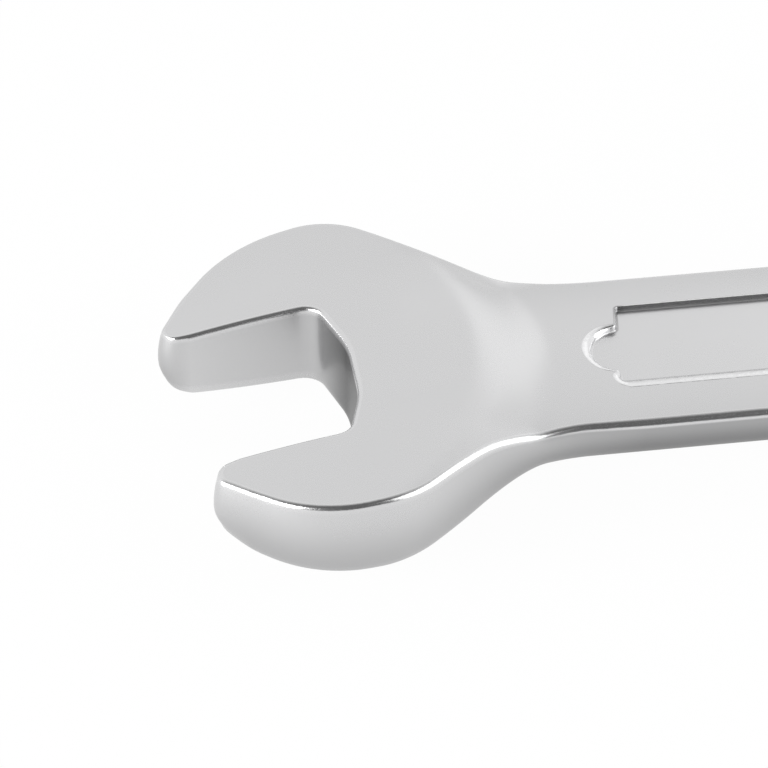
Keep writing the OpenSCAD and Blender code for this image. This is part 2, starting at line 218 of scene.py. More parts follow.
class WrenchStage(bpy.types.PropertyGroup):
    azimuth: FloatProperty(
        name="Azimuth", description="Direction of the camera round the wrench, 0 looks along +Y",
        default=math.radians(-7.83), subtype="ANGLE")
    elevation: FloatProperty(
        name="Elevation", description="Height angle of the camera", default=math.radians(40), subtype="ANGLE")
    distance: length("Distance", "From the camera to the point that it aims at", 258.6)
    aim: FloatVectorProperty(
        name="Aim", description="Point in the middle of the picture", default=(-0.15009, 0.00028, 0),
        subtype="TRANSLATION")
    lens: FloatProperty(name="Lens", description="Focal length on a 36 mm sensor", default=180)
    background: FloatProperty(
        name="Background", description="Brightness of floor and world where they are seen", default=1.0,
        min=0)
    backdrop: FloatProperty(
        name="Backdrop", description="Brightness of the world's light", default=1.0, min=0)
    horizon: FloatProperty(
        name="Horizon", description="Share of the backdrop's brightness that is left low behind the wrench",
        default=0.8, min=0)
    room: FloatProperty(
        name="Room", description="Brightness of the dark room behind the camera", default=0.12, min=0)
    room_height: FloatProperty(
        name="Room height", description="Height angle of the dark room's middle", default=math.radians(30),
        subtype="ANGLE")
    room_starts: FloatProperty(
        name="Room starts", description="Angle from the dark room's middle where it begins to brighten",
        default=math.radians(45), subtype="ANGLE")
    horizon_starts: FloatProperty(
        name="Horizon starts", description="Angle from the dark room's middle where the backdrop falls off",
        default=math.radians(112), subtype="ANGLE")
    horizon_ends: FloatProperty(
        name="Horizon ends", description="Angle from the dark room's middle where Horizon's share is reached",
        default=math.radians(150), subtype="ANGLE")
    room_ends: FloatProperty(
        name="Room ends", description="Angle from the dark room's middle where the backdrop is reached",
        default=math.radians(95), subtype="ANGLE")


# ---------------------------------------------------------------- shape functions, in millimetres


def unit(v):
    """Vectors of length 1."""
    return v / np.linalg.norm(v, axis=-1, keepdims=True)


def ease(t):
    """Smooth step: 0 below 0, 1 above 1, 3t^2 - 2t^3 between."""
    t = np.clip(t, 0, 1)
    return t * t * (3 - 2 * t)


def rounded(corners, step, turn=math.radians(12)):
    """Closed path through corners [x, y, radius, more]: each corner becomes an arc that touches both its
    sides, and radius 0 leaves a plain point. Arcs and sides are cut into steps of about `step`, and no arc
    step turns more than `turn`. The columns past the radius hold at the middle of each arc and change evenly
    with the length of the path between."""
    c = np.asarray(corners, float)
    p, r, more = c[:, :2], c[:, 2], c[:, 3:]
    back, ahead = unit(np.roll(p, 1, 0) - p), unit(np.roll(p, -1, 0) - p)
    half = np.arccos(np.clip((back * ahead).sum(1), -1, 1)) / 2
    reach = (r / np.tan(half))[:, None]
    middle = back + ahead
    middle /= np.maximum(np.linalg.norm(middle, axis=1, keepdims=True), 1e-9)
    centre = p + middle * (r / np.sin(half))[:, None]
    start, end = p + back * reach, p + ahead * reach
    rows, run, middles = [], 0, []
    for i in range(len(c)):
        k = (i + 1) % len(c)
        a0 = math.atan2(*(start[i] - centre[i])[::-1])
        a1 = math.atan2(*(end[i] - centre[i])[::-1])
        sweep = (a1 - a0 + math.pi) % (2 * math.pi) - math.pi
        curve, side = abs(sweep) * r[i], np.linalg.norm(start[k] - end[i])
        n = max(2, math.ceil(curve / step), math.ceil(abs(sweep) / turn))
        t = np.linspace(0, 1, n + 1)[:, None]
        a = a0 + sweep * t
        rows.append(np.hstack([centre[i] + r[i] * np.hstack([np.cos(a), np.sin(a)]), run + curve * t]))
        middles.append(run + curve / 2)
        t = np.linspace(0, 1, max(1, math.ceil(side / step)) + 1)[1:-1, None]
        rows.append(np.hstack([end[i] + t * (start[k] - end[i]), run + curve + side * t]))
        run += curve + side
    path = np.vstack(rows)
    path = path[np.linalg.norm((np.roll(path, -1, 0) - path)[:, :2], axis=1) > 1e-4]
    held = [np.interp(path[:, 2], middles, column, period=run) for column in more.T]
    return np.column_stack([path[:, :2], *held])


def outward(path):
    """Outward normals of a closed counterclockwise path: its direction turned to the right. The direction
    at a point weighs the steps before and after it by each other's length, which is exact on a circle."""
    after = np.roll(path, -1, 0) - path
    before = np.roll(after, 1, 0)
    la, lb = np.linalg.norm(after, axis=1, keepdims=True), np.linalg.norm(before, axis=1, keepdims=True)
    along = unit(after / la * lb + before / lb * la)
    return np.stack([along[:, 1], -along[:, 0]], 1)


def tangent_corners(centre, r, starts, ends, count):
    """Corners [x, y, r] whose rounding makes one arc round centre from one angle to the other: they lie where
    tangents to the circle meet."""
    cut = (ends - starts) / count
    a = starts + cut * (np.arange(count) + 0.5)
    far = r / math.cos(cut / 2)
    return [(centre[0] + far * math.cos(t), centre[1] + far * math.sin(t), r) for t in a]


def arc_middle(corners, i, inwards=0.0):
    """The middle of the arc that rounds corner i, moved inwards from the closed counterclockwise path."""
    before, at, after = [np.array(corners[k % len(corners)][:2]) for k in (i - 1, i, i + 1)]
    back, ahead = unit(before - at), unit(after - at)
    half = math.acos(back @ ahead) / 2
    inner_side = math.copysign(1, ahead[0] * back[1] - ahead[1] * back[0])
    return at + unit(back + ahead) * (corners[i][2] * (1 / math.sin(half) - 1) + inner_side * inwards)


def full_turn(n):
    """n even angles that go once round."""
    return np.linspace(0, 2 * math.pi, n, endpoint=False)


def around(r, angles, centre=(0, 0)):
    """Points at these angles on the circle of radius r round centre."""
    return np.stack([centre[0] + r * np.cos(angles), centre[1] + r * np.sin(angles)], 1)


def swept(r, z, angles, centre=(0, 0)):
    """Grid of points at radius r and height z, turned round a vertical axis through centre: a row for each
    angle and a column for each point of the profile."""
    x = centre[0] + r * np.cos(angles)[:, None]
    y = centre[1] + r * np.sin(angles)[:, None]
    return np.stack([x, y, np.broadcast_to(z, x.shape)], -1)


def at_height(path, z):
    """The points of a flat path, put at height z."""
    return np.column_stack([path, np.broadcast_to(z, len(path))])


def region(points, rings, margin=0.0):
    """True for the points that lie inside an odd number of rings and at least margin from their points."""
    a = np.vstack(rings)
    b = np.vstack([np.roll(ring, -1, 0) for ring in rings])
    keep, at_once = [], 1500
    for part in np.array_split(points, max(1, len(points) // at_once)):
        x, y = part[:, :1], part[:, 1:2]
        spans = (a[:, 1] > y) != (b[:, 1] > y)
        rise = np.where(b[:, 1] == a[:, 1], 1, b[:, 1] - a[:, 1])
        crossing = (b[:, 0] - a[:, 0]) * (y - a[:, 1]) / rise + a[:, 0]
        inside = (spans & (x < crossing)).sum(1) % 2 == 1
        if margin:
            near = ((x - a[:, 0]) ** 2 + (y - a[:, 1]) ** 2).min(1)
            inside &= near > margin * margin
        keep.append(inside)
    return np.concatenate(keep)


DOUBLES = 0.002  # points nearer to each other than this are one


class Skin:
    """Collects grids and filled regions in millimetres and turns them into one closed mesh in metres."""

    def __init__(self):
        self.points, self.faces, self.rims, self.dulls, self.count = [], [], [], [], 0

    def add(self, points, faces, rim=0.0, dull_and_shade=0.0):
        """Points and faces. rim says how smooth from wear the metal is at each point and how much painted
        highlight lifts its colour; dull says how rough it is and how much painted shade darkens its colour.
        """
        self.points.append(points)
        self.rims.append(np.broadcast_to(rim, len(points)))
        self.dulls.append(np.broadcast_to(dull_and_shade, len(points)))
        self.faces += (np.asarray(faces) + self.count).tolist()
        self.count += len(points)

    def grid(self, points, wrap_rows=True, wrap_columns=False, keep=None, rim=0.0, dull_and_shade=0.0):
        """A grid of points (rows, columns, 3) as quads. keep drops quads."""
        n, m = points.shape[:2]
        i, j = np.meshgrid(np.arange(n if wrap_rows else n - 1), np.arange(m if wrap_columns else m - 1),
                           indexing="ij")
        k, q = (i + 1) % n, (j + 1) % m
        quads = np.stack([i * m + j, i * m + q, k * m + q, k * m + j], -1)
        quads = quads[keep] if keep is not None else quads.reshape(-1, 4)
        self.add(points.reshape(-1, 3), quads, np.broadcast_to(rim, (n, m)).reshape(-1),
                 np.broadcast_to(dull_and_shade, (n, m)).reshape(-1))

    def fill(self, rings, height, spacing):
        """Triangles over the region inside rings[0] and outside the others, between the rings' own points
        and a triangular lattice `spacing` apart. The height function gives z at x, y."""
        edge = np.vstack(rings)
        lo, hi = edge.min(0), edge.max(0)
        rows = np.arange(lo[1], hi[1], spacing * math.sqrt(0.75))
        columns = np.arange(lo[0], hi[0] + spacing, spacing)
        x, y = np.meshgrid(columns, rows)
        x = x + (np.arange(len(rows)) % 2)[:, None] * spacing / 2
        lattice = np.stack([x.ravel(), y.ravel()], 1)
        lattice = lattice[region(lattice, rings, spacing * 0.55)]
        links, first = [], 0
        for ring in rings:
            n = len(ring)
            links += [(first + i, first + (i + 1) % n) for i in range(n)]
            first += n
        found = delaunay_2d_cdt([Vector(v) for v in np.vstack([edge, lattice])], links, [], 0, 1e-7)
        flat = np.array([tuple(v) for v in found[0]])
        triangles = np.array(found[2])
        middles = flat[triangles].mean(1)
        self.add(np.column_stack([flat, height(flat[:, 0], flat[:, 1])]), triangles[region(middles, rings)])

    def level(self, rings, z, spacing=0.8):
        """A flat region at one height."""
        self.fill(rings, lambda x, y: np.full_like(x, z), spacing)

    def turned(self, profile, angles, centre=(0, 0), keep=None):
        """A profile of [radius, z] turned round a vertical axis through centre, at these angles."""
        r, z = np.asarray(profile, float).T
        self.grid(swept(r, z, angles, centre), keep=keep)

    def slab(self, path, low, high, low_rim, high_rim, holes=(), rim=0.0):
        """A flat plate with this outline between two heights, with quarter-round rims. The upper side is left
        open inside the rings of holes."""
        normal, land = outward(path), 0.02
        t = np.linspace(0, math.pi / 2, 5)
        out = np.concatenate([[-low_rim - land], low_rim * (np.sin(t) - 1), high_rim * (np.cos(t) - 1),
                              [-high_rim - land]])
        z = np.concatenate([[low], low + low_rim * (1 - np.cos(t)), high - high_rim * (1 - np.sin(t)),
                            [high]])
        place = path[:, None] + normal[:, None] * out[None, :, None]
        rows = np.dstack([place, np.broadcast_to(z, place.shape[:2])])
        # the rounded edges carry the rim value: smoother metal from wear and a painted highlight on their colour
        self.grid(rows, rim=np.where(out < 0, rim, 0))
        self.level([rows[:, 0, :2]], low)
        self.level([rows[:, -1, :2], *holes], high)

    def bar(self, rows):
        """A grid of closed sections (rows, columns, 3) whose two ends close in a point each."""
        first, last = rows[:1].mean(1, keepdims=True), rows[-1:].mean(1, keepdims=True)
        self.grid(np.concatenate([np.broadcast_to(first, rows[:1].shape), rows,
                                  np.broadcast_to(last, rows[:1].shape)]), wrap_rows=False, wrap_columns=True)

    def turn(self, angle, centre):
        """Turns all that was collected round a vertical axis, after moving it from the origin to centre."""
        c, q = math.cos(angle), math.sin(angle)
        turned = np.array([[c, q, 0], [-q, c, 0], [0, 0, 1]])
        self.points = [points @ turned + (*centre, 0) for points in self.points]

    def mesh(self, name, sharp=35):
        """The closed mesh: doubles merged, faces outwards, smooth up to `sharp` degrees."""
        made = bpy.data.meshes.new(name)
        made.from_pydata((np.vstack(self.points) * MM).tolist(), [], self.faces)
        for kind, values in (("rim", self.rims), ("dull_and_shade", self.dulls)):
            layer = made.attributes.new(kind, "FLOAT", "POINT")
            layer.data.foreach_set("value", np.concatenate(values).astype(np.float32))
        work = bmesh.new()
        work.from_mesh(made)
        bmesh.ops.remove_doubles(work, verts=work.verts, dist=DOUBLES * MM)
        bmesh.ops.recalc_face_normals(work, faces=work.faces)
        loose = [e for e in work.edges if not e.is_manifold]
        if loose:
            raise RuntimeError(f"{name}: {len(loose)} edges are open, near {list(loose[0].verts[0].co)}")
        work.to_mesh(made)
        work.free()
        made.polygons.foreach_set("use_smooth", np.ones(len(made.polygons), bool))
        made.set_sharp_from_angle(angle=math.radians(sharp))
        return made


def piece(mesh, body, slot, material, *nodes):
    """An object for a finished mesh that rides on a body and stands for its CAD nodes."""
    made = bpy.data.objects.new(mesh.name, mesh)
    bpy.context.scene.collection.objects.link(made)
    made.data.materials.append(material)
    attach(made, body)
    if nodes:
        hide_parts(*nodes)
    return made


# ---------------------------------------------------------------- the forging


NECK_AT = 18.3  # from the nut's centre along the wrench to the corners of the neck


def face_heights(s):
    """Returns z(x, y) of the upper face and of the lower one, which is mirrored. The head is a disc that
    thins towards the jaw tips as a square, and falls towards its outer edges. It eases into the shank's
    crown, an arc across, along a circle round the disc. The crown eases up to the flat housing along a circle
    round the ring's socket. The lower face also falls away at the jaw tips, as a square."""
    disc_at = JAWS_AT + (-2.7, 2.7)
    thin_from, thin_over = JAWS_AT[0] + 8.3, 11
    fall_from, fall_over = JAWS_AT[1] + 0.4, 13
    drop_from, drop_over = -1.5, 3

    def height(x, y):
        """Height of the upper face above the middle plane."""
        head = s.head_t / 2 - s.tip_thinning * (np.clip(thin_from - x, 0, None) / thin_over) ** 2
        head = head - s.cross_fall * ((y - fall_from) / fall_over) ** 2
        across = np.clip(np.abs(y), 0, s.shank_w / 2)
        shank = s.shank_mid_t / 2 - (s.crown_r - np.sqrt(s.crown_r ** 2 - across ** 2))
        z = head + (shank - head) * ease((np.hypot(x - disc_at[0], y - disc_at[1]) - s.disc_r) / s.disc_slope)
        return HOUSING_Z + (z - HOUSING_Z) * ease((np.hypot(x, y) - s.housing_flat_r) / s.housing_rise)

    def below(x, y):
        """Depth of the lower face below the middle plane."""
        along = (x - JAWS_AT[0]) * TO_THROAT[0] + (y - JAWS_AT[1]) * TO_THROAT[1]
        return height(x, y) - s.tip_fall * (np.clip(drop_from - along, 0, None) / drop_over) ** 2

    return height, below


def body_corners(s):
    """Corners of the outline half way up, by name, counterclockwise from the ring end. Each is [x, y, radius,
    bulge, undercut, upper rim, lower rim, dull], where the last says how much rougher the wall and its lower rim
    are there and how much painted shade darkens their colour. The housing is a circle, and its blends touch it and
    the shank's edges. The jaws' corners are given along the jaws' depth and across it, from the nut's centre. The
    shank's edges are as forged and the throat as milled, so they are rougher than the rest, and painted shade
    darkens them, the throat the most; the neck and the upper jaw's tip get a little of the same."""
    half_w, blend = s.shank_w / 2, s.housing_blend_r
    turn = math.acos(-math.sqrt(1 - ((half_w + blend) / (HOUSING_R + blend)) ** 2))
    touch = HOUSING_R * np.array([math.cos(turn), math.sin(turn)])
    along = np.array([-math.sin(turn), math.cos(turn)])
    foot = touch + along * (half_w - touch[1]) / along[1]
    shoulder_x = -HOUSING_R * math.tan((turn - math.pi / 2) / 2)
    # the last number of each kind makes the metal rougher and darkens its colour as painted shade
    housing = (0.2, 0.2, s.rim_r, s.rim_r, 0.1)
    outer = (s.wall_bulge, s.wall_undercut, s.rim_r, s.back_rim_r, 0)
    neck = (s.wall_bulge, s.wall_undercut, s.rim_r, s.back_rim_r, 0.2)
    edge = (s.shank_bulge, s.wall_undercut, s.shank_rim_r, s.back_rim_r, 0.38)
    flat = (0, 0, s.jaw_rim_r, s.jaw_rim_r, 0.05)
    root = (0, 0, s.jaw_rim_r, s.jaw_rim_r, 0.2)
    throat = (0, 0, s.jaw_rim_r, s.jaw_rim_r, 0.85)

    def jaw(depth, across, r, kind):
        """A corner this far towards the throat and towards the upper jaw."""
        return (*(JAWS_AT + depth * TO_THROAT + across * TO_UPPER), r, *kind)

    h, back = JAW_HALF, 7.9
    return {
        "housing_lower": (HOUSING_R, -HOUSING_R, HOUSING_R, *housing),
        "housing_upper": (HOUSING_R, HOUSING_R, HOUSING_R, *housing),
        "housing_upper_shoulder": (shoulder_x, HOUSING_R, HOUSING_R, *housing),
        "upper_blend": (foot[0], half_w, blend, *edge),
        "upper_shank": (JAWS_AT[0] + s.panel_start, half_w, 0, *edge),
        "upper_neck": (JAWS_AT[0] + NECK_AT, half_w, s.upper_neck_r, *neck),
        "upper_jaw_back": jaw(10.6, h + 10.2, 5.5, outer),
        "upper_jaw_crown": jaw(2.8, h + 8.944, 12.5, outer),
        "upper_jaw_nose": jaw(3.3 - s.upper_reach, h + 4.3, 8, outer),
        "upper_jaw_tip": jaw(-s.upper_reach, h, 1.2, (0.35, 0.35, 0.15, 0.35, 0.12)),
        "upper_flat": jaw(3.2 - s.upper_reach, h, 0, flat),
        "throat_corner": jaw(back - 1.1, h, 1.4, root),
        "throat_upper": jaw(back - 0.2, 1.8, 6.8, throat),
        "throat_back": jaw(back - 0.9, -3.2, 6.8, throat),
        "throat_foot": jaw(back - 2.5, -h, 1.3, root),
        "lower_flat": jaw(3.8 - s.lower_reach, -h, 0, flat),
        "lower_jaw_tip": jaw(-s.lower_reach, -h, 1.3, (0.3, 0.3, s.rim_r, 0.8, 0)),
        "lower_jaw_nose": jaw(3.2 - s.lower_reach, -h - 3.5, 4, outer),
        "lower_jaw_crown": jaw(1, -h - 7.285, 9, outer),
        "lower_jaw_back": jaw(7.7, -h - 7.385, 8.5, outer),
        "lower_neck": (JAWS_AT[0] + NECK_AT, -half_w, s.lower_neck_r, *neck),
        "lower_shank": (JAWS_AT[0] + s.panel_start, -half_w, 0, *edge),
        "lower_blend": (foot[0], -half_w, blend, *edge),
        "housing_lower_shoulder": (shoulder_x, -HOUSING_R, HOUSING_R, *housing),
    }


PANEL_FILLET = 0.15  # radius at the foot of the panel's wall
UPPER_SHOULDER, LOWER_SHOULDER = 1, 7  # where panel_corners lists the corners nearest the jaws


def rim_slope(s, rim):
    """The panel wall's steepest slope: 70 degrees, or less where the rim's round and the fillet alone take up
    the depth."""
    return np.minimum(math.radians(70), np.arccos(1 - np.minimum(s.panel_depth / (rim + PANEL_FILLET), 1)))


def panel_corners(s):
    """Corners [x, y, radius, rim, dull] of the sunk panel, counterclockwise. Each end has slanted shoulders and a
    round tongue between them. The tongue's arc runs from 105 to 240 degrees round its centre and has three
    corners, which lie where tangents to its circle meet. Its first and last tangents run on to the shoulders. The
    rim is crisp along the upper edge and worn round along the lower one. The last number, set near the upper
    shoulders, makes the sunk wall rougher and darkens it as painted shade, and takes the painted highlight off its
    rim."""
    h, r = s.panel_w / 2, s.tongue_r
    low = s.worn_rim_r * math.sin(rim_slope(s, s.worn_rim_r)) / 2 - h
    lean = s.panel_slant / s.panel_w
    starts, ends = math.radians(105), math.radians(240)

    def end(x, side):
        """Corners of one end. Its upper shoulder is at x, and side, -1 or 1, is where its tongue points."""
        middle_x, middle_y = x - side * (r - s.tongue_reach), -s.tongue_offset

        def shoulder(y):
            """Where the slanted shoulder lies at y."""
            return x + side * lean * (h - y)

        def meets(turn):
            """The y at which the tangent to the tongue's circle at this angle meets the shoulder."""
            to_shoulder = side * (middle_x - shoulder(middle_y))
            return middle_y + (r - to_shoulder * math.cos(turn)) / (math.sin(turn) + lean * math.cos(turn))

        arc = tangent_corners((0, middle_y), r, starts, ends, 3)
        tongue = [(middle_x - side * tx, ty, r, rim, 0) for (tx, ty, _), rim in zip(arc, (0.5, 0.8, 0.7))]
        top, foot = meets(starts), meets(ends)
        return [
            (x - side * 0.8, h, 0, 0.12, 0),
            (x, h, 0.28, 0.12, 0.5),
            (shoulder(top), top, 0.42, 0.2, 0.35),
            *tongue,
            (shoulder(foot), foot, 0.5, 0.2, 0),
            (shoulder(low), low, 0.28, 0.75, 0),
            (shoulder(low) - side * 0.5, low, 0, s.worn_rim_r, 0)]

    return end(JAWS_AT[0] + s.panel_start, -1) + end(-s.panel_end, 1)[::-1]


LAND = 0.06  # flat strip past a rounded rim, which keeps its shading off the faces
RIM_STEPS = 6
WORN_AND_SHEEN = 0.3  # how smooth from wear the outer rims are, and how much painted highlight lifts their colour
UNDER_DULL_AND_SHADE = 0.65  # how much rougher the walls get towards the lower face, and how much painted shade darkens them there, for a millimetre of undercut


def wall_strip(skin, path, above, below):
    """The outer wall: for each outline point a profile from the lower face round the wall to the upper one.
    Half way up it stands on the outline. Towards the rims it draws in as a square of the height, by the
    bulge above and by the undercut below. Elliptic rims join it to the faces: round above, twice as tall as
    wide below. Returns the upper and lower rings."""
    xy, bulge, undercut, upper, lower = path[:, :2], path[:, 2:3], path[:, 3:4], path[:, 4:5], path[:, 5:6]
    normal = outward(xy)

    def inset(depth):
        """Each outline point drawn in by its row of depths."""
        return xy[:, None] - normal[:, None] * depth[..., None]

    def rim(height, drawn_in, r, tall, side):
        """An arc of an ellipse from the wall's own slope to the face, and its height on the wall's side."""
        top = height(*np.moveaxis(inset(drawn_in), -1, 0))
        lean = np.arctan2(2 * drawn_in * tall, top)
        t = lean + (math.pi / 2 - lean) * np.linspace(0, 1, RIM_STEPS + 1)
        depth = np.hstack([drawn_in + r * (np.cos(lean) - np.cos(t)), drawn_in + r * np.cos(lean) + LAND])
        drop = np.hstack([tall * r * (1 - np.sin(t)), 0 * drawn_in])
        place = inset(depth)
        z = height(place[..., 0], place[..., 1]) - drop
        return np.dstack([place, side * z]), z[:, :1]

    top, top_z = rim(above, bulge, upper, 1, 1)
    bottom, bottom_z = rim(below, undercut, lower, 2, -1)
    v = np.linspace(-1, 1, 17)[1:-1]
    z = np.where(v > 0, v * top_z, v * bottom_z)
    wall = np.dstack([inset(np.where(v > 0, bulge, undercut) * v ** 2), z])
    rows = np.concatenate([bottom[:, ::-1], wall, top], 1)
    # rims: smoother metal from wear, and a painted highlight that lifts their colour
    rim_wear_and_sheen = np.append(np.full(RIM_STEPS + 1, WORN_AND_SHEEN), 0)
    rubbed = np.concatenate([rim_wear_and_sheen[::-1], np.zeros(len(v)), rim_wear_and_sheen])
    # painted shade: the lower rim and the wall darken, and grow rougher, towards the lower face, the more the
    # deeper the undercut; each corner's own darkening covers the lower rim and the wall
    down = np.concatenate([[0], np.ones(RIM_STEPS + 1), ease(0.5 - 0.5 * v), np.zeros(RIM_STEPS + 2)])
    dull_and_shade = path[:, 6:7] * (down > 0) + UNDER_DULL_AND_SHADE * undercut * down
    skin.grid(rows, rim=rubbed, dull_and_shade=dull_and_shade)
    return top[:, -1, :2], bottom[:, -1, :2]


def panel_strip(skin, s, height, side):
    """The panel's rim and wall, as a profile carried along its outline: from the crowned face over a round
    rim, down a steep wall and round a small fillet onto the flat floor. Returns the ring on the face."""
    path = rounded(panel_corners(s), step=0.3)
    rim, dull_and_shade = path[:, 2:3], path[:, 3:4]
    path = path[:, :2]
    normal = outward(path)
    fillet = PANEL_FILLET
    floor_z = float(height(0.5 * (JAWS_AT[0] - s.panel_end), s.panel_w / 2)) - s.panel_depth
    steepest = rim_slope(s, rim)
    t = steepest * np.linspace(0, 1, RIM_STEPS + 1)
    rim_out = rim * (np.sin(steepest) - np.sin(t))
    foot_out = fillet * (np.sin(t) - np.sin(steepest))
    rim_out = np.hstack([rim_out[:, :1] + LAND, rim_out])
    foot_out = np.hstack([foot_out[:, ::-1], foot_out[:, :1] - LAND])
    rim_at, foot_at = [path[:, None] + normal[:, None] * out[..., None] for out in (rim_out, foot_out)]
    rim_z = height(rim_at[..., 0], rim_at[..., 1]) - np.hstack([0 * rim, rim * (1 - np.cos(t))])
    foot_z = floor_z + np.hstack([fillet * (1 - np.cos(t[:, ::-1])), 0 * rim])
    rows = np.concatenate([np.dstack([rim_at, side * rim_z]), np.dstack([foot_at, side * foot_z])], 1)
    # the panel's rim gets smoother metal from wear and a painted highlight on its colour, less where the corners
    # mark it duller; there the wall and rim are rougher and darkened as painted shade
    worn = np.concatenate([[0], np.ones(RIM_STEPS + 1), np.zeros(RIM_STEPS + 2)])
    sunk = np.concatenate([[0], np.ones(2 * RIM_STEPS + 2), [0]])
    skin.grid(rows, rim=worn * (1 - dull_and_shade), dull_and_shade=sunk * dull_and_shade)
    skin.level([rows[:, -1, :2]], side * floor_z, spacing=0.9)
    return rows[:, 0, :2]


TEETH, POINTS_PER_TOOTH = 72, 8
SOCKET_POINTS = 12
RIBS = 4
RING_POINTS, ROUND_POINTS = 120, 72  # points round the bore and round the shaft


def housing_cavity(skin, ring):
    """The ring end's inside, all of it turned profiles: the bore with its lip, snap ring groove and mouth,
    and the pawl's pocket with the shaft's hole and its seats. Bore and pocket open into each other where
    their circles cross. Returns the rings on the upper and on the lower face."""
    gap, close_gap, wide_gap, chamfer, lip_t = 0.1, 0.05, 0.15, 0.3, 1.2
    bore_r, lip_r = GEAR_R + gap, GEAR_R - ring.collar_step + gap
    mouth_r, lip_z = bore_r + 0.25, HOUSING_Z - lip_t
    groove_r = SNAP_BOX[1][1] + close_gap
    groove = (SNAP_BOX[0][2] - close_gap, SNAP_BOX[1][2] + close_gap)
    pocket_r, pocket_z = width(PAWL_BOX) / 2 + wide_gap, PAWL_BOX[1][2] + wide_gap
    shaft_r = ring.shaft_r + close_gap
    seal_r, seal_z = width(SEAL_BOX) / 2 + close_gap, SEAL_BOX[0][2]
    clip_r, clip_z = 3.65, CLIP_BOX[1][2] + gap

    # where the pocket's circle crosses the bore's, as angles round each centre
    cross_x = (bore_r ** 2 - pocket_r ** 2 + PIVOT_X ** 2) / (2 * PIVOT_X)
    cross_y = math.sqrt(bore_r ** 2 - cross_x ** 2)
    window = math.atan2(cross_y, -cross_x)
    mouth = math.atan2(cross_y, cross_x - PIVOT_X)
    window_steps = 12
    angles = np.concatenate([
        np.linspace(math.pi + window, 3 * math.pi - window, RING_POINTS - window_steps, endpoint=False),
        np.linspace(math.pi - window, math.pi + window, window_steps, endpoint=False)])
    profile = [
        (lip_r + chamfer, HOUSING_Z), (lip_r, HOUSING_Z - chamfer), (lip_r, lip_z), (bore_r, lip_z),
        (bore_r, pocket_z), (bore_r, -pocket_z), (bore_r, groove[1]), (groove_r, groove[1]),
        (groove_r, groove[0]), (bore_r, groove[0]), (mouth_r, -HOUSING_Z)]
    keep = np.ones((RING_POINTS, len(profile) - 1), bool)
    keep[RING_POINTS - window_steps:, 4] = False
    skin.turned(profile, angles, keep=keep)

    full = full_turn(ROUND_POINTS)
    shaft_hole = around(shaft_r, full, PIVOT)
    skin.turned([(seal_r + chamfer / 2, HOUSING_Z), (seal_r, HOUSING_Z - chamfer / 2), (seal_r, seal_z),
                 (shaft_r, seal_z), (shaft_r, pocket_z)], full, PIVOT)
    skin.turned([(shaft_r, -pocket_z), (shaft_r, clip_z), (clip_r, clip_z),
                 (clip_r, -HOUSING_Z + chamfer / 2), (clip_r + chamfer / 2, -HOUSING_Z)], full, PIVOT)
    arc = np.linspace(mouth, 2 * math.pi - mouth, 61)
    wall = around(pocket_r, arc, PIVOT)
    opening = around(bore_r, angles[RING_POINTS - window_steps:])
    edge = np.vstack([wall, opening[1:][::-1]])
    skin.grid(np.stack([at_height(wall, -pocket_z), at_height(wall, pocket_z)], 1), wrap_rows=False)
    for z in (-pocket_z, pocket_z):
        skin.level([edge, shaft_hole], z)
    return ([around(lip_r + chamfer, angles), around(seal_r + chamfer / 2, full, PIVOT)],
            [around(mouth_r, angles), around(clip_r + chamfer / 2, full, PIVOT)])


def in_millimetres(group):
    """The group's lengths as plain numbers in millimetres, and its angles as they are."""
    units = {name: group.bl_rna.properties[name].unit for name in group.__annotations__}
    return type("Sizes", (), {name: getattr(group, name) / (MM if kind == "LENGTH" else 1)
                              for name, kind in units.items()})


class WRENCH_OT_forging(bpy.types.Operator):
    """Builds the forging: open end, crowned shank with its sunk panels, and ring housing"""

    bl_idname = "wrench.forging"
    bl_label = "Forging"

    def execute(self, context):
        s = in_millimetres(context.scene.wrench_forging)
        above, below = face_heights(s)
        skin = Skin()
        path = rounded(list(body_corners(s).values()), step=0.35)
        upper, lower = wall_strip(skin, path, above, below)
        mouths, feet = housing_cavity(skin, in_millimetres(context.scene.wrench_ring_end))
        spacing = 0.6
        skin.fill([upper, panel_strip(skin, s, above, 1), *mouths], above, spacing)
        skin.fill([lower, panel_strip(skin, s, below, -1), *feet], lambda x, y: -below(x, y), spacing)
        chrome = satin_chrome(context.scene.wrench_finish)
        piece(skin.mesh("wrench_forging"), "handle", "forging", chrome, "body")
        return {"FINISHED"}


# ---------------------------------------------------------------- materials


